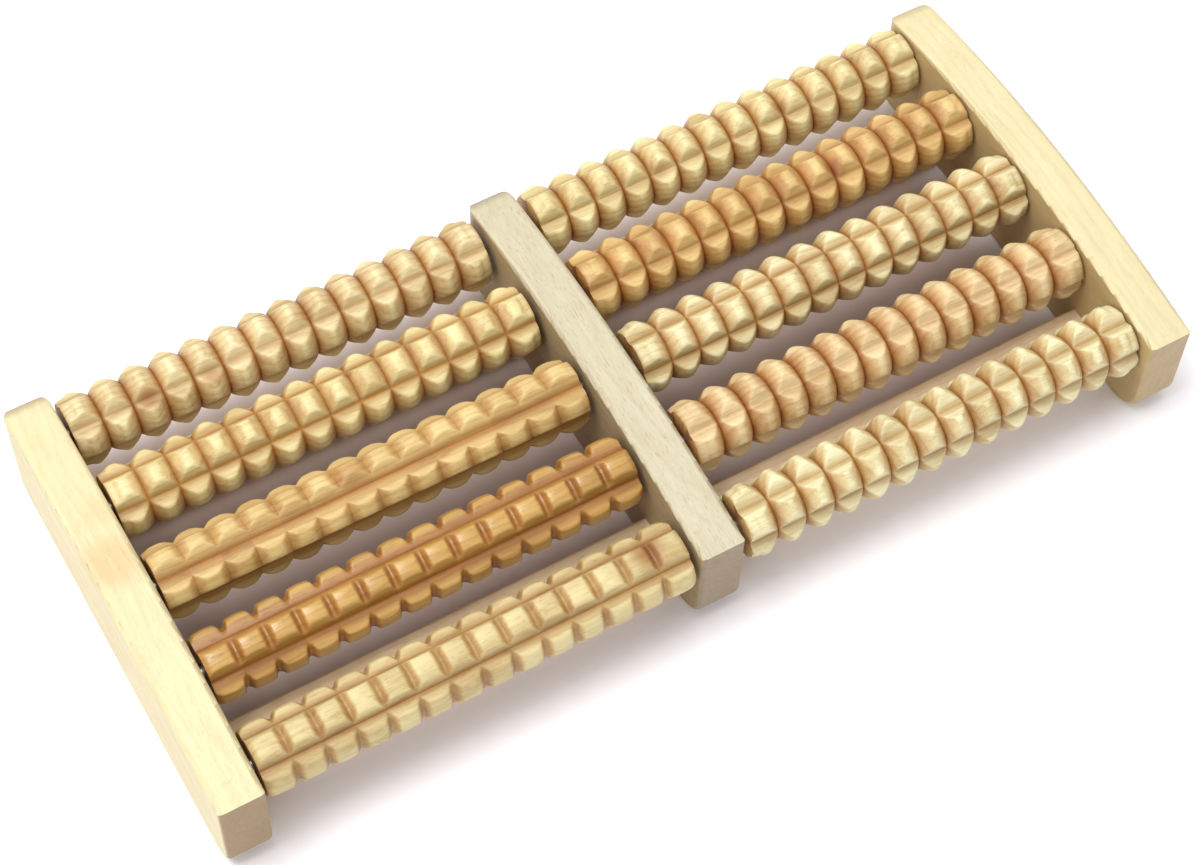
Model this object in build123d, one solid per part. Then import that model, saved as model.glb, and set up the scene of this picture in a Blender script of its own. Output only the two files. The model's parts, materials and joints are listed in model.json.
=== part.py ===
from build123d import *
import math
import os

# Foot massage roller: three arched wooden bars carry five axle rods, and each rod carries
# one grooved wooden roller on either side of the centre bar.
# Millimetres. Origin: centre of the footprint on the floor. +X runs along the rollers,
# -Y is the front (the end with the square-cut bar tops), +Z is up.

# ---- bars ----
BAR_PITCH = 133.8          # centre to centre of neighbouring bars, along X
BAR_THICK = 12.5
BAR_FRONT = -64.5          # front end of the side bars
BAR_BACK = 64.5            # back end of every bar
CENTRE_SETBACK = 3.3       # the centre bar's front end stops this far behind the side bars'
END_HEIGHT = 32.5          # height of the top edge at a bar's ends
ARCH_RISE = 5.7            # crown of the arched top above its ends
FOOT_ROUND = 9.0           # radius from each end face into the underside
BACK_ROUND = 8.0           # radius from the arched top into the back end
NOSE_ROUND = 6.0           # radius of a bar's two upright back edges
EDGE_SOFT = 1.3            # sanded edge radius along both side faces

# ---- axle rods ----
ROW_PITCH = 26.35
ROW_COUNT = 5
AXLE_DEPTH = 9.8           # axles follow the arch, this far below the side bars' top edge
AXLE_R = 2.0
AXLE_SEAT = 8.0            # how deep a rod sits in each side bar
SEAT_END_GAP = 0.5         # bore deeper than the rod's seat
ROD_CHAMFER = 0.4

# ---- rollers ----
BEAD_PITCH = 8.45
BEAD_COUNT = 14
ROLLER_R = 9.9             # crest of a bead
BEAD_SHOULDER_R = 9.35     # bead radius where its side falls away
GROOVE_R = 7.5             # bottom of the ring grooves and of the lengthwise grooves
RING_HALF_WIDTH = 2.2      # half the ring groove's width at the bead's shoulder
END_SHOULDER = 1.2         # length of the bevel on each roller end
END_R = 8.6                # radius of the roller's end face
FLUTE_COUNT = 5
FLUTE_HALF_ANGLE = 66.0    # degrees, between a lengthwise groove's wall and its mid plane
RUNNING_CLEARANCE = 0.08   # radial, between rod and roller bore
START_GAP = {"left": 1.2, "right": 2.3}  # where rollers rest, from the bar on their left

# Angle of one lengthwise groove, degrees from +Y towards +Z, rows counted from the back.
REST_PHASE = {
    "left": (120.4, 135.6, 113.4, 143.3, 133.3),
    "right": (128.9, 129.3, 150.8, 111.8, 165.8),
}

# ---- cross rails ----
RAIL_Y = 39.5              # mid plane of the rails, front and back
RAIL_WIDTH = 12.0
RAIL_HEIGHT = 10.0
RAIL_TOP = 12.5
RAIL_EDGE = 0.8
DOWEL_R = 2.5
DOWEL_IN_RAIL = 9.0
DOWEL_IN_BAR = 7.0

BAR_X = {"end_bar_left": -BAR_PITCH, "centre_bar": 0.0, "end_bar_right": BAR_PITCH}
INNER_SPAN = BAR_PITCH - BAR_THICK
ROLLER_LENGTH = BEAD_PITCH * BEAD_COUNT
FAR_SEAT = BAR_PITCH - BAR_THICK / 2 + AXLE_SEAT


def row_y(row):
    """Y of a row of rollers; row 1 is at the back."""
    return ((ROW_COUNT + 1) / 2 - row) * ROW_PITCH


def axle_z(row):
    """Height of a row's axle, measured down from the arch above it."""
    half = (BAR_BACK - BAR_FRONT) / 2
    arch_r = (half ** 2 + ARCH_RISE ** 2) / (2 * ARCH_RISE)
    sag = arch_r - math.sqrt(arch_r ** 2 - row_y(row) ** 2)
    return END_HEIGHT + ARCH_RISE - sag - AXLE_DEPTH


def x_cylinder(radius, x0, x1, y, z):
    """Solid cylinder along X from x0 to x1."""
    return Pos((x0 + x1) / 2, y, z) * Rot(0, 90, 0) * Cylinder(radius, x1 - x0)


def bar_blank(front, back):
    """Arched bar, centred on X = 0, before drilling."""
    middle = (front + back) / 2
    outline = [
        Line((front, 0), (back, 0)),
        Line((back, 0), (back, END_HEIGHT)),
        ThreePointArc((back, END_HEIGHT), (middle, END_HEIGHT + ARCH_RISE), (front, END_HEIGHT)),
        Line((front, END_HEIGHT), (front, 0)),
    ]
    side = make_face(outline)
    feet = side.vertices().sort_by(Axis.Y)[:2]
    side = fillet(feet, FOOT_ROUND)
    heel = side.vertices().group_by(Axis.Y)[-1].sort_by(Axis.X)[-1]
    side = fillet(heel, BACK_ROUND)
    bar = extrude(Plane.YZ.offset(-BAR_THICK / 2) * side, BAR_THICK)
    bar = fillet(bar.faces().filter_by(Axis.X).edges(), EDGE_SOFT)
    top = END_HEIGHT + ARCH_RISE + 1
    plan = Pos(0, middle, top / 2) * Box(BAR_THICK, back - front, top)
    uprights = plan.edges().filter_by(Axis.Z).group_by(Axis.Y)
    return bar & fillet(uprights[-1], NOSE_ROUND)


def make_bar(name):
    """One bar with its axle bores and dowel holes, in place."""
    front = BAR_FRONT + CENTRE_SETBACK if name == "centre_bar" else BAR_FRONT
    bar = Pos(BAR_X[name], 0, 0) * bar_blank(front, BAR_BACK)
    bore_reach = FAR_SEAT + SEAT_END_GAP
    dowel_reach = BAR_PITCH - BAR_THICK / 2 + DOWEL_IN_BAR
    for row in range(1, ROW_COUNT + 1):
        bar -= x_cylinder(AXLE_R, -bore_reach, bore_reach, row_y(row), axle_z(row))
    for y in (-RAIL_Y, RAIL_Y):
        bar -= x_cylinder(DOWEL_R, -dowel_reach, dowel_reach, y, RAIL_TOP - RAIL_HEIGHT / 2)
    return bar


def bead_outline():
    """Half section of a roller in the X-Y plane, from X = 0, Y up as radius."""
    edges = []
    point = (0, END_R)
    for bead in range(BEAD_COUNT):
        start = bead * BEAD_PITCH
        first, last = bead == 0, bead == BEAD_COUNT - 1
        left = start + (END_SHOULDER if first else RING_HALF_WIDTH)
        right = start + BEAD_PITCH - (END_SHOULDER if last else RING_HALF_WIDTH)
        edges.append(Line(point, (left, BEAD_SHOULDER_R)))
        crest = ((left + right) / 2, ROLLER_R)
        edges.append(ThreePointArc((left, BEAD_SHOULDER_R), crest, (right, BEAD_SHOULDER_R)))
        point = (start + BEAD_PITCH, END_R if last else GROOVE_R)
        edges.append(Line((right, BEAD_SHOULDER_R), point))
    bore = AXLE_R + RUNNING_CLEARANCE
    edges.append(Line(point, (ROLLER_LENGTH, bore)))
    edges.append(Line((ROLLER_LENGTH, bore), (0, bore)))
    edges.append(Line((0, bore), (0, END_R)))
    return edges


def roller_blank():
    """Beaded roller along +X from X = 0, one lengthwise groove pointing along +Y."""
    roller = revolve(make_face(bead_outline()), Axis.X, 360)
    reach = ROLLER_R + 1.5
    half = (reach - GROOVE_R) * math.tan(math.radians(FLUTE_HALF_ANGLE))
    flute = extrude(
        Plane.YZ.offset(-1) * make_face(Polyline(
            (GROOVE_R, 0), (reach, half), (reach, -half), (GROOVE_R, 0))),
        ROLLER_LENGTH + 2)
    for index in range(FLUTE_COUNT):
        roller -= Rot(index * 360 / FLUTE_COUNT, 0, 0) * flute
    return roller


def make_rail(side, y):
    """Cross rail between an end bar and the centre bar, drilled for its dowels."""
    sign = -1 if side == "left" else 1
    rail = Box(INNER_SPAN, RAIL_WIDTH, RAIL_HEIGHT)
    rail = chamfer(rail.edges().filter_by(Axis.X), RAIL_EDGE)
    rail = Pos(sign * BAR_PITCH / 2, y, RAIL_TOP - RAIL_HEIGHT / 2) * rail
    near = BAR_THICK / 2
    far = BAR_PITCH - BAR_THICK / 2
    for x0, x1 in ((near - 1, near + DOWEL_IN_RAIL), (far - DOWEL_IN_RAIL, far + 1)):
        low, high = sorted((sign * x0, sign * x1))
        rail -= x_cylinder(DOWEL_R, low, high, y, RAIL_TOP - RAIL_HEIGHT / 2)
    return rail


def make_dowels(spans):
    """Group of separate dowels, one per X span at each rail line."""
    z = RAIL_TOP - RAIL_HEIGHT / 2
    return Compound([x_cylinder(DOWEL_R, x0, x1, y, z)
                     for x0, x1 in spans for y in (-RAIL_Y, RAIL_Y)])


os.makedirs("parts", exist_ok=True)

for bar_name in BAR_X:
    export_step(make_bar(bar_name), f"parts/{bar_name}.step")

for row in range(1, ROW_COUNT + 1):
    rod = Rot(0, 90, 0) * Cylinder(AXLE_R, 2 * FAR_SEAT)
    rod = chamfer(rod.edges(), ROD_CHAMFER)
    export_step(Pos(0, row_y(row), axle_z(row)) * rod, f"parts/axle_rod_{row}.step")

blank = roller_blank()
roller_x = {
    "left": -BAR_PITCH + BAR_THICK / 2 + START_GAP["left"],
    "right": BAR_THICK / 2 + START_GAP["right"],
}
for side, phases in REST_PHASE.items():
    for row, phase in enumerate(phases, start=1):
        roller = Pos(roller_x[side], row_y(row), axle_z(row)) * Rot(phase, 0, 0) * blank
        export_step(roller, f"parts/roller_{side}_{row}.step")

for side in ("left", "right"):
    export_step(make_rail(side, -RAIL_Y), f"parts/rail_{side}_front.step")
    export_step(make_rail(side, RAIL_Y), f"parts/rail_{side}_back.step")

inner_face = BAR_PITCH - BAR_THICK / 2
centre_reach = BAR_THICK / 2 + DOWEL_IN_RAIL
end_spans = [(-inner_face - DOWEL_IN_BAR, -inner_face + DOWEL_IN_RAIL),
             (inner_face - DOWEL_IN_RAIL, inner_face + DOWEL_IN_BAR)]
export_step(make_dowels(end_spans), "parts/rail_end_dowels.step")
export_step(make_dowels([(-centre_reach, centre_reach)]), "parts/rail_centre_dowels.step")
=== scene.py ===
import json
import math

import bpy
import numpy as np
from mathutils import Euler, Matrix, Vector


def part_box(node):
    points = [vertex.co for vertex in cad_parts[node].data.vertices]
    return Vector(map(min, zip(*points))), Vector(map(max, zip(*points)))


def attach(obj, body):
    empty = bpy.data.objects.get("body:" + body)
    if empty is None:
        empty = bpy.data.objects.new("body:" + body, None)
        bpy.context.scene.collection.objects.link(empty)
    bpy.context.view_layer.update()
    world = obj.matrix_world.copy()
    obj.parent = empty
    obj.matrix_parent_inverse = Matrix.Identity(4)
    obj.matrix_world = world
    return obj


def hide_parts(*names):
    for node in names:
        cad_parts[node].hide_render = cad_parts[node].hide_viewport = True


# Foot massage roller. Metres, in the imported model's own frame: +X along the rollers,
# -Y to the front, +Z up, the origin on the floor under the middle of the object.

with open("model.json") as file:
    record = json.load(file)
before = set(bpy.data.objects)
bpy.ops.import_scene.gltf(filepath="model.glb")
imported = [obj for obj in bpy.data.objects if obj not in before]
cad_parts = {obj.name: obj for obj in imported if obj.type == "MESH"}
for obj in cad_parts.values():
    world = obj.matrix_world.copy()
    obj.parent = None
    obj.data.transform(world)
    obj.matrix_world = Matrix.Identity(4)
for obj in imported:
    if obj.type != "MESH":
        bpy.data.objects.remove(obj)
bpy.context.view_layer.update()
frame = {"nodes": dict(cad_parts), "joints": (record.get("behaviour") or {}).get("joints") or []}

MM = 0.001
SIDES = ("left", "right")
ROWS = range(1, 6)

# ---- camera ----
CAMERA_PLACE = (-0.2074, -0.3349, 0.6465)
CAMERA_TURN = (31.368, -1.246, -29.736)    # degrees about X, Y, Z
CAMERA_LENS = 85.27                         # mm, on a 36 mm wide sensor

# ---- rollers, the same driving sizes as the CAD part ----
BEAD_COUNT = 14
CREST_R = 9.9 * MM
SHOULDER_R = 9.35 * MM
BORE_R = 2.08 * MM
END_R = 8.6 * MM
END_SHOULDER = 1.2 * MM
FLUTES = 5
LENS_FLAT, LENS_ROUND = 1.9, 0.72           # exponents of a bulging bead's outline
ALONG_STEPS = 9                             # vertices between a bead's crest and its groove
AROUND_STEPS = 30 * FLUTES                  # vertices around a roller
REST_PHASE = {      # degrees from +Y to +Z of a roller's first flute, back row first
    "left": (120.4, 135.6, 113.4, 143.3, 133.3),
    "right": (128.9, 129.3, 150.8, 111.8, 165.8),
}


# ======================================================================== rollers
def number(side, row):
    """1 to 10, a roller's own number."""
    return row + (0 if side == "left" else len(ROWS))


def axle_place(side, row):
    """Y and Z of the axle that a roller turns on."""
    joint = next(j for j in frame["joints"] if j["child"] == f"roller_{side}_{row}_body")
    return joint["pos_m"][1:]


class Cut:
    """How one roller's grooves were cut; widths in metres, angles in degrees."""

    def __init__(self, ring_half, ring_r, flute_half, flute_r, soft=0.3, dome=0.55, ring_floor=0.0,
                 rounded=0.0):
        self.ring_half = ring_half * MM        # half a ring groove's width at the bead's shoulder
        self.ring_r = ring_r * MM              # radius left at the bottom of a ring groove
        self.ring_floor = ring_floor * MM      # half the flat there
        self.flute_half = math.radians(flute_half)
        self.flute_r = flute_r * MM            # radius left at the bottom of a lengthwise groove
        self.soft = soft * MM                  # how far edges are rounded
        self.dome = dome * MM                  # crown of a bead between its shoulders
        self.rounded = rounded                 # 0 for straight-sided grooves, 1 for bulging beads


CUTS = {
    "left": (Cut(2.8, 7.3, 20, 7.8, soft=0.5, rounded=0.4), Cut(2.2, 7.7, 21, 7.7, soft=0.4),
             Cut(1.8, 8.1, 25, 7.0, soft=0.12, dome=0.45),
             Cut(1.35, 7.8, 24, 7.2, soft=0.1, dome=0.3, ring_floor=0.45),
             Cut(1.5, 8.0, 19, 7.6, soft=0.15, dome=0.3, ring_floor=0.2)),
    "right": (Cut(2.8, 7.1, 20, 7.7, soft=0.35, rounded=0.5),
              Cut(2.7, 7.1, 21, 7.6, soft=0.3, rounded=0.45),
              Cut(2.5, 7.4, 21, 7.5, soft=0.25, rounded=0.3),
              Cut(2.8, 6.8, 19, 7.9, soft=0.3, rounded=0.6),
              Cut(2.8, 6.8, 22, 7.2, soft=0.2, rounded=0.4)),
}


def soft_min(a, b, size):
    """Smaller of a and b, with the corner between them rounded over size."""
    h = np.clip(0.5 + 0.5 * (b - a) / size, 0, 1)
    return b * (1 - h) + a * h - size * h * (1 - h)


def spread(breaks, fine, steps):
    """Sample places: each break with a close pair on both sides, and even steps between breaks."""
    places = []
    for start, end in zip(breaks[:-1], breaks[1:]):
        inner = np.linspace(start + fine, end - fine, steps)
        places += [start, *inner]
    return np.array(places)


def roller_radius(x, angle, cut, pitch, length):
    """Radius of the cut roller at x (from its left end) and angle (from a flute)."""
    from_ring = np.abs((x + pitch / 2) % pitch - pitch / 2)
    at_end = (x < pitch / 2) | (x > length - pitch / 2)
    # beads, crowned between their shoulders
    land = pitch / 2 - cut.ring_half
    along = np.clip((pitch / 2 - from_ring) / land, -1.3, 1.3)
    bead = SHOULDER_R + cut.dome * (1 - along ** 2)
    # ring grooves
    slope = (SHOULDER_R - cut.ring_r) / (cut.ring_half - cut.ring_floor)
    ring = cut.ring_r + np.maximum(from_ring - cut.ring_floor, 0) * slope
    end_slope = (SHOULDER_R - END_R) / END_SHOULDER
    ring = np.where(at_end, END_R + from_ring * end_slope, ring)
    ring = soft_min(bead, ring, cut.soft)
    # beads that bulge like lenses
    from_crest = np.clip(1 - from_ring / (pitch / 2), 0, 1)
    foot = np.where(at_end, END_R, cut.ring_r)
    lens = foot + (CREST_R - foot) * (1 - from_crest ** LENS_FLAT) ** LENS_ROUND
    ring = ring * (1 - cut.rounded) + lens * cut.rounded
    # lengthwise grooves: two flat walls that meet at flute_r and reach CREST_R at flute_half;
    # past that they are far outside the beads, and the lower bound keeps them finite
    spacing = 2 * math.pi / FLUTES
    turn = np.abs((angle + spacing / 2) % spacing - spacing / 2)
    ratio = cut.flute_r / CREST_R
    wall = math.atan2(math.sin(cut.flute_half), math.cos(cut.flute_half) - ratio)
    flute = cut.flute_r * math.sin(wall) / np.maximum(np.sin(wall - turn), 0.2)
    return soft_min(ring, flute, cut.soft)


def roller_mesh(name, side, row):
    """The turned and cut roller, closed by its bore, with a "groove" depth and a "pad" tone."""
    low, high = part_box(name)
    length = high.x - low.x
    pitch = length / BEAD_COUNT
    cut = CUTS[side][row - 1]
    axis_y, axis_z = axle_place(side, row)
    xs = spread([i * pitch / 2 for i in range(2 * BEAD_COUNT + 1)], pitch / 60, ALONG_STEPS)
    xs = np.append(xs, length)
    turns = np.linspace(0, 2 * math.pi, AROUND_STEPS, endpoint=False)
    grid_x, grid_turn = np.meshgrid(xs, turns, indexing="ij")
    radius = roller_radius(grid_x, grid_turn, cut, pitch, length)
    placed = grid_turn + math.radians(REST_PHASE[side][row - 1])
    # rings of vertices: bore at the left end, then the outside, then the bore at the right end
    outside = np.stack([low.x + grid_x, axis_y + radius * np.cos(placed),
                        axis_z + radius * np.sin(placed)], axis=-1)
    bore = [np.stack([np.full_like(turns, x), axis_y + BORE_R * np.cos(placed[0]),
                      axis_z + BORE_R * np.sin(placed[0])], axis=-1) for x in (low.x, high.x)]
    rings = np.concatenate([bore[0][None], outside, bore[1][None]])
    count, around = rings.shape[:2]
    index = np.arange(count * around).reshape(count, around)
    ahead, onward = np.roll(index, -1, axis=1), np.roll(index, -1, axis=0)
    both = np.roll(ahead, -1, axis=0)
    faces = np.stack([index, ahead, both, onward], axis=-1).reshape(-1, 4)
    mesh = bpy.data.meshes.new(name + "_turned")
    mesh.from_pydata(rings.reshape(-1, 3).tolist(), [], faces.tolist())
    mesh.update()
    mesh.shade_smooth()
    # groove depth, 0 on the crests to 1 at the deepest cut and in the bore; the wood paints shade with it
    groove = np.zeros((count, around), np.float32)
    deepest = min(cut.ring_r, cut.flute_r)
    groove[1:-1] = np.clip((CREST_R - radius) / (CREST_R - deepest), 0, 1)
    groove[0] = groove[-1] = 1
    mesh.attributes.new("groove", "FLOAT", "POINT").data.foreach_set("value", groove.ravel())
    # every bead pad is a little lighter or darker than its neighbours
    dice = np.random.default_rng(40 + number(side, row))
    pads = dice.random((BEAD_COUNT, FLUTES)).astype(np.float32)
    column = np.minimum((xs / pitch).astype(int), BEAD_COUNT - 1)
    line = (turns / (2 * math.pi / FLUTES)).astype(int)
    tone = pads[column][:, line]
    tone = np.concatenate([tone[:1], tone, tone[-1:]])
    mesh.attributes.new("pad", "FLOAT", "POINT").data.foreach_set("value", tone.ravel())
    mesh.set_sharp_from_angle(angle=math.radians(50))
    piece = bpy.data.objects.new(name + "_wood", mesh)
    bpy.context.scene.collection.objects.link(piece)
    return piece


# ====================================================================== materials
class Shader:
    """A material's node tree, with a short call to add a node and link its inputs."""

    def __init__(self, name):
        self.material = bpy.data.materials.new(name)
        self.material.use_nodes = True
        self.tree = self.material.node_tree
        self.surface = self.tree.nodes["Principled BSDF"]

    def add(self, kind, inputs=(), output=0, **settings):
        node = self.tree.nodes.new(kind)
        for key, value in settings.items():
            setattr(node, key, value)
        for socket, value in dict(inputs).items():
            self.set(node, socket, value)
        return node.outputs[output]

    def set(self, node, socket, value):
        if isinstance(value, bpy.types.NodeSocket):
            self.tree.links.new(value, node.inputs[socket])
        else:
            node.inputs[socket].default_value = value

    def math(self, operation, a, b=0.0, clamp=False):
        return self.add("ShaderNodeMath", {0: a, 1: b}, operation=operation, use_clamp=clamp)

    def blend(self, share, a, b, mode="MIX"):
        return self.add("ShaderNodeMix", {0: share, 6: a, 7: b}, output=2,
                        data_type="RGBA", blend_type=mode)

    def lean(self, tone, value, middle, amount):
        """tone, moved by how far value is from its middle."""
        return self.math("ADD", tone, self.math("MULTIPLY", self.math("SUBTRACT", value, middle), amount))

    def ramp(self, value, start, end, low=0.0, high=1.0, smooth=False):
        """low up to start, high from end on."""
        return self.add("ShaderNodeMapRange", {0: value, 1: start, 2: end, 3: low, 4: high},
                        interpolation_type="SMOOTHSTEP" if smooth else "LINEAR")

    def noise(self, place, scale, detail=2.0, roughness=0.5):
        spot = self.add("ShaderNodeMapping", {"Vector": place, "Scale": scale})
        return self.add("ShaderNodeTexNoise", {"Vector": spot, "Scale": 1.0, "Detail": detail,
                                               "Roughness": roughness})

    def part_of(self, vector, axis):
        """One of a vector's X, Y and Z."""
        return self.add("ShaderNodeSeparateXYZ", {0: vector}, output=axis)


LIGHT_TINT = (1.14, 1.17, 1.25)     # of a wood's mean colour: between the rings
DARK_TINT = (0.74, 0.64, 0.50)      # in the rings, pores and darker fibres
INNER_SHADE_TINT = (0.66, 0.50, 0.34)     # painted shade on bar sides that face the rollers


def growth_rings(sh, place, moved, ring, pith):
    """0 between rings to 1 in them; ring is their spacing and pith their middle (y, z), in mm."""
    wave = sh.noise(moved, (0.02, 0.08, 0.08), detail=3)
    flat = sh.add("ShaderNodeMapping", {"Vector": place, "Scale": (0.02, 1, 1),
                                        "Location": (0, -pith[0], -pith[1])})
    away = sh.add("ShaderNodeVectorMath", {0: flat}, output="Value", operation="LENGTH")
    away = sh.math("ADD", away, sh.math("MULTIPLY", wave, 4.0 * ring))
    phase = sh.math("FRACT", sh.math("DIVIDE", away, ring))
    late = sh.math("POWER", phase, 2.4)
    early = sh.math("POWER", sh.math("SUBTRACT", 1.0, phase), 12.0)
    return sh.math("MAXIMUM", late, early)


def wood(name, base, grain_axis="X", seed=0.0, ring=2.2, pith=(18.0, 30.0), contrast=0.6,
         fibre=0.6, fleck=0.35, rough=0.5, groove_shade=0.0, pads=0.0, end_dark=0.45, marks=(), inner=0.0,
         groove_shade_tint=(0.50, 0.27, 0.06), end_tint=(0.72, 0.44, 0.19)):
    """Solid timber: growth rings, and fibres and pores along the grain.

    contrast, fibre, fleck and pads set how much rings and patches, fibres, pores and single bead pads
    show; end_dark sets how far end grain is tinted, and groove_shade how much painted shade darkens the
    grooves. Faces that look sideways less than inner from the middle get painted shade and are browner.
    marks are knots and stains: (place in mm, size in mm, strength, tint)."""
    sh = Shader(name)
    light = tuple(min(c * k, 0.95) for c, k in zip(base, LIGHT_TINT))
    dark = tuple(c * k for c, k in zip(base, DARK_TINT))
    coords = sh.add("ShaderNodeTexCoord", output="Object")
    turn = (0, 0, 0) if grain_axis == "X" else (0, 0, math.radians(90))
    place = sh.add("ShaderNodeMapping", {"Vector": coords, "Rotation": turn, "Scale": (1 / MM,) * 3})
    # each seed takes another part of the noise
    moved = sh.add("ShaderNodeMapping", {"Vector": place, "Location": (seed * 137.0, seed * 41.0, 0)})

    # tone: 0 light to 1 dark
    strands = sh.noise(moved, (0.09, 1.1, 1.1), detail=5, roughness=0.65)
    pore = sh.ramp(sh.noise(moved, (0.35, 3.2, 3.2), detail=1), 0.60, 0.72)
    patch = sh.noise(moved, (0.06, 0.22, 0.22), detail=3)
    rings = growth_rings(sh, place, moved, ring, pith)
    tone = sh.math("ADD", sh.math("MULTIPLY", rings, contrast * 0.55), 0.12)
    tone = sh.lean(tone, strands, 0.45, fibre * 1.6)
    tone = sh.lean(tone, patch, 0.45, contrast * 1.5)
    if pads:
        pad = sh.add("ShaderNodeAttribute", output="Fac", attribute_name="pad")
        tone = sh.lean(tone, pad, 0.5, pads)
    tone = sh.math("ADD", tone, sh.math("MULTIPLY", pore, fleck), clamp=True)
    colour = sh.blend(tone, (*light, 1), (*dark, 1))

    # end grain drinks more and looks darker and warmer
    facing = sh.part_of(sh.add("ShaderNodeTexCoord", output="Normal"), grain_axis)
    cross = sh.ramp(sh.math("ABSOLUTE", facing), 0.25, 0.75, high=end_dark)
    colour = sh.blend(cross, colour, (*end_tint, 1), mode="MULTIPLY")
    # painted shade: bar sides that face the rollers are darkened and browned, as if in the rollers'
    # shadow
    if inner:
        outward = sh.part_of(sh.add("ShaderNodeNewGeometry", output="True Normal"), "X")
        sideways = sh.ramp(sh.math("ABSOLUTE", outward), 0.7, 0.99, high=0.8)
        near = sh.math("LESS_THAN", sh.math("ABSOLUTE", sh.part_of(coords, "X")), inner)
        colour = sh.blend(sh.math("MULTIPLY", sideways, near), colour, (*INNER_SHADE_TINT, 1), mode="MULTIPLY")
    # painted shade in the grooves and the bore: the further below the crest, the darker and more orange
    if groove_shade:
        groove = sh.add("ShaderNodeAttribute", output="Fac", attribute_name="groove")
        groove_shade_share = sh.math("MULTIPLY", sh.math("POWER", groove, 1.9), groove_shade)
        colour = sh.blend(groove_shade_share, colour, (*groove_shade_tint, 1), mode="MULTIPLY")
    in_mm = sh.add("ShaderNodeVectorMath", {0: coords, 3: 1 / MM}, operation="SCALE")
    for spot, size, strength, tint in marks:
        wobble = sh.math("MULTIPLY", sh.math("SUBTRACT", patch, 0.5), size * 0.9)
        away = sh.add("ShaderNodeVectorMath", {0: in_mm, 1: spot}, output="Value", operation="DISTANCE")
        share = sh.ramp(sh.math("ADD", away, wobble), size * 0.25, size, strength, 0.0, smooth=True)
        colour = sh.blend(share, colour, (*tint, 1), mode="MULTIPLY")

    height = sh.math("SUBTRACT", sh.math("MULTIPLY", strands, 0.6), sh.math("MULTIPLY", pore, 0.5))
    bump = sh.add("ShaderNodeBump", {"Height": height, "Strength": 0.35, "Distance": 0.0003})
    shine = sh.math("ADD", sh.math("MULTIPLY", strands, 0.25), rough - 0.12)
    sh.set(sh.surface, "Base Color", colour)
    sh.set(sh.surface, "Roughness", shine)
    sh.set(sh.surface, "Normal", bump)
    sh.surface.inputs["Specular IOR Level"].default_value = 0.6
    return sh.material


def steel(name):
    sh = Shader(name)
    coords = sh.add("ShaderNodeTexCoord", output="Object")
    drawn = sh.noise(coords, (30, 6000, 6000), detail=3)
    sh.set(sh.surface, "Roughness", sh.math("ADD", sh.math("MULTIPLY", drawn, 0.3), 0.2))
    colour = sh.blend(drawn, (0.26, 0.25, 0.24, 1), (0.42, 0.41, 0.39, 1))
    sh.set(sh.surface, "Base Color", colour)
    sh.surface.inputs["Metallic"].default_value = 1.0
    return sh.material


def dress(piece, material):
    piece.data.materials.clear()
    piece.data.materials.append(material)


# ========================================================================= build
# mean colour of each roller's wood, back row first
ROLLER_BASE = {
    "left": ((0.64, 0.54, 0.29), (0.66, 0.56, 0.27), (0.58, 0.42, 0.165),
             (0.46, 0.27, 0.07), (0.55, 0.45, 0.21)),
    "right": ((0.67, 0.59, 0.30), (0.60, 0.42, 0.16), (0.67, 0.60, 0.34),
              (0.63, 0.48, 0.25), (0.68, 0.63, 0.37)),
}
KNOT = (0.56, 0.30, 0.12)
MARK_R = 9.5            # mm from the axle to a knot's middle
PITH_AWAY = 14          # mm from the axle to the middle of the growth rings
ROLLER_MARKS = {        # (side, row): ((x in mm, degrees from +Y to +Z, size in mm, strength), ...)
    ("left", 1): ((-105, 120, 5, 0.8), (-88, 132, 4, 0.7), (-60, 100, 4, 0.4)),
    ("left", 3): ((-72, 85, 6, 0.5),),
    ("left", 5): ((-17, 88, 7, 0.85),),
    ("right", 1): ((84, 110, 4, 0.7), (45, 125, 4, 0.45)),
    ("right", 2): ((85, 110, 5, 0.75), (30, 100, 5, 0.35)),
}


def about_axle(side, row, away, angle):
    """Y and Z in mm of a place away mm from a roller's axle, at an angle in radians."""
    axis_y, axis_z = (value / MM for value in axle_place(side, row))
    return axis_y + away * math.cos(angle), axis_z + away * math.sin(angle)


def marks_on(side, row):
    """Knots on a roller's surface, as wood() takes them."""
    return [((x, *about_axle(side, row, MARK_R, math.radians(turn))), size, strength, KNOT)
            for x, turn, size, strength in ROLLER_MARKS.get((side, row), ())]


for side in SIDES:
    for row in ROWS:
        name = f"roller_{side}_{row}"
        piece = roller_mesh(name, side, row)
        seed = number(side, row)
        pith = about_axle(side, row, PITH_AWAY, 2.4 * seed)
        polish = 0.31 if (side, row) == ("left", 4) else 0.5    # the darkest roller is the shiniest
        dress(piece, wood(name + "_wood", ROLLER_BASE[side][row - 1], seed=seed, pith=pith,
                          contrast=0.75, fibre=0.7, pads=0.45, rough=polish, groove_shade=1.0, end_dark=0.7,
                          marks=marks_on(side, row)))
        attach(piece, name + "_body")
        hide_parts(name)

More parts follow.
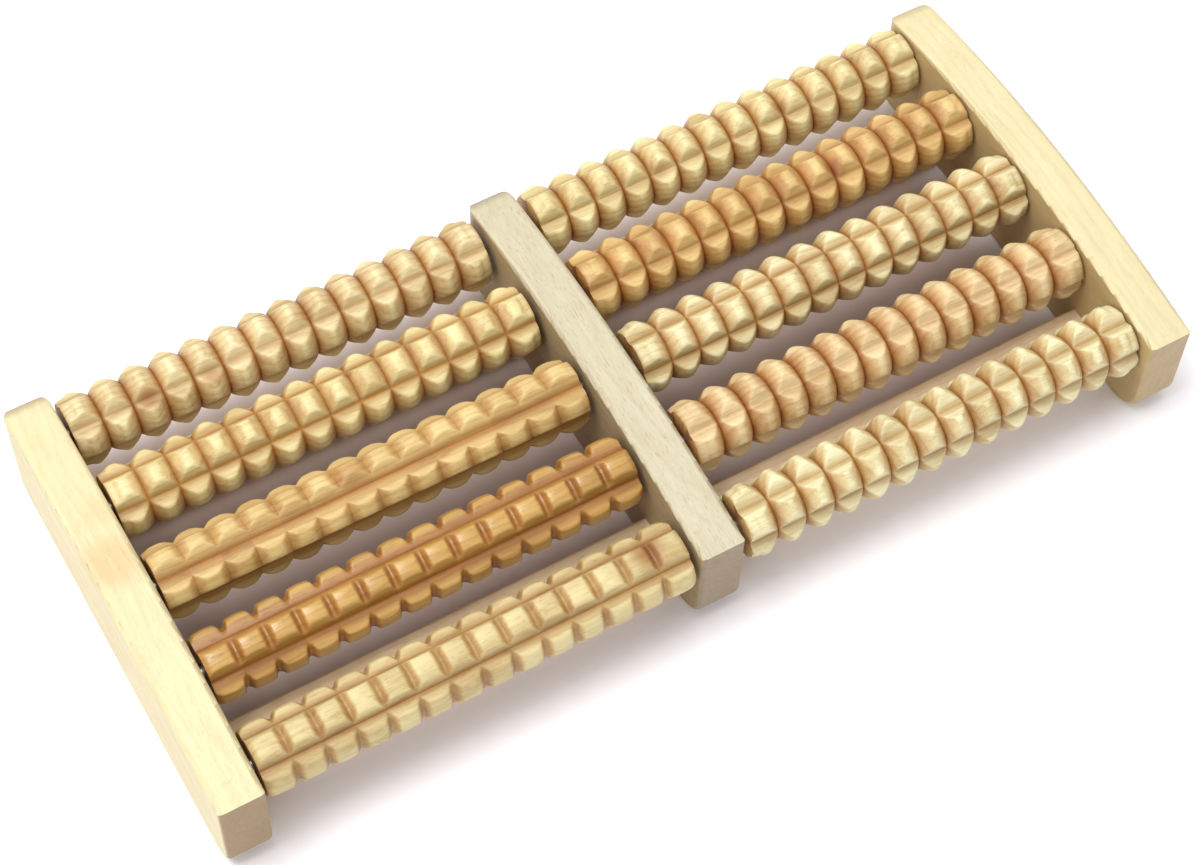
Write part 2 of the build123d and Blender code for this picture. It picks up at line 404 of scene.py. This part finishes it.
STAIN = (0.86, 0.66, 0.52)
END_GRAIN = {"left": (0.42, 0.30, 0.21), "right": (0.62, 0.50, 0.42), "centre": (0.50, 0.40, 0.34)}
bar_low, bar_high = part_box("end_bar_right")
pale = {side: wood(f"end_bar_{side}_wood", (0.60, 0.52, 0.29), grain_axis="Y", seed=3, ring=3.2,
                   pith=(-20, 70), contrast=0.26, fibre=0.26, fleck=0.15,
                   inner=(bar_low.x + bar_high.x) / 2, end_dark=0.9, end_tint=END_GRAIN[side],
                   marks=(((-134, 6, 38), 11, 0.6, STAIN), ((-131, 21, 37), 7, 0.25, STAIN)))
        for side in SIDES}
grey = wood("centre_bar_wood", (0.48, 0.43, 0.285), grain_axis="Y", seed=7, ring=2.6, pith=(9, 60),
            contrast=0.26, fibre=0.45, fleck=0.45, inner=1.0, end_dark=0.9, end_tint=END_GRAIN["centre"])
tan = wood("rail_wood", (0.78, 0.60, 0.38), seed=12, contrast=0.4, fibre=0.4)
peg = wood("dowel_wood", (0.58, 0.44, 0.28), seed=14, contrast=0.4, fibre=0.4)
bright = steel("axle_steel")
LOOKS = {       # by the start of a node's name
    "end_bar_left": pale["left"], "end_bar_right": pale["right"], "centre_bar": grey, "axle": bright,
    "rail_left": tan, "rail_right": tan, "rail_end_dowels": peg, "rail_centre_dowels": peg,
}
for node, piece in frame["nodes"].items():
    for start, material in LOOKS.items():
        if node.startswith(start):
            dress(piece, material)
            piece.data.shade_smooth()
            piece.data.set_sharp_from_angle(angle=math.radians(30))

# ======================================================================= studio
FLOOR_HALF = 3.0
# the paper is bright, with a painted shadow where the massager stands over it
SHADOW_HALF_X, SHADOW_HALF_Y, SHADOW_MIDDLE_Y = 0.128, 0.057, 0.004
SHADOW_FADE = (-0.012, 0.006)                  # from full painted shadow to bright, across the patch's edge
SHADOW_TONES = ((0.58, 0.48, 0.44, 1), (0.65, 0.54, 0.50, 1))
BRIGHT = (0.92, 0.90, 0.94, 1)

floor_mesh = bpy.data.meshes.new("floor")
corners = [(x * FLOOR_HALF, y * FLOOR_HALF, 0) for x, y in ((-1, -1), (1, -1), (1, 1), (-1, 1))]
floor_mesh.from_pydata(corners, [], [(0, 1, 2, 3)])
floor = bpy.data.objects.new("floor", floor_mesh)
bpy.context.scene.collection.objects.link(floor)
paper = Shader("floor_paper")
coords = paper.add("ShaderNodeTexCoord", output="Object")
# painted shadow: darker, mottled paper inside the massager's footprint, fading to the bright paper at its
# edge
past_x = paper.math("SUBTRACT", paper.math("ABSOLUTE", paper.part_of(coords, "X")), SHADOW_HALF_X)
from_middle = paper.math("SUBTRACT", paper.part_of(coords, "Y"), SHADOW_MIDDLE_Y)
past_y = paper.math("SUBTRACT", paper.math("ABSOLUTE", from_middle), SHADOW_HALF_Y)
edge = paper.ramp(paper.math("MAXIMUM", past_x, past_y), *SHADOW_FADE, smooth=True)
painted_shadow = paper.blend(paper.noise(coords, (60, 60, 60)), *SHADOW_TONES)
paper.set(paper.surface, "Base Color", paper.blend(edge, painted_shadow, BRIGHT))
paper.surface.inputs["Roughness"].default_value = 0.7
paper.surface.inputs["Specular IOR Level"].default_value = 0.2
dress(floor, paper.material)


def softbox(name, place, size, watts):
    """A lit rectangle that faces the origin."""
    lamp = bpy.data.lights.new(name, "AREA")
    lamp.shape = "RECTANGLE"
    lamp.size, lamp.size_y = size
    lamp.energy = watts
    holder = bpy.data.objects.new(name, lamp)
    holder.location = place
    holder.rotation_euler = (-Vector(place)).to_track_quat("-Z", "Y").to_euler()
    bpy.context.scene.collection.objects.link(holder)


softbox("key_light", (-0.45, 0.15, 1.35), (0.8, 0.8), 16)
softbox("top_light", (0.1, 0.1, 1.6), (1.2, 0.9), 2)

world = bpy.data.worlds.new("studio")
world.use_nodes = True
world.node_tree.nodes["Background"].inputs["Color"].default_value = (1.0, 1.0, 1.0, 1)
world.node_tree.nodes["Background"].inputs["Strength"].default_value = 0.85
bpy.context.scene.world = world
bpy.context.scene.view_settings.view_transform = "Standard"

camera_data = bpy.data.cameras.new("camera")
camera_data.lens = CAMERA_LENS
camera_data.sensor_width = 36
camera_data.clip_start = 0.01
camera = bpy.data.objects.new("camera", camera_data)
camera.location = CAMERA_PLACE
camera.rotation_euler = Euler([math.radians(angle) for angle in CAMERA_TURN])
bpy.context.scene.collection.objects.link(camera)
bpy.context.scene.camera = camera
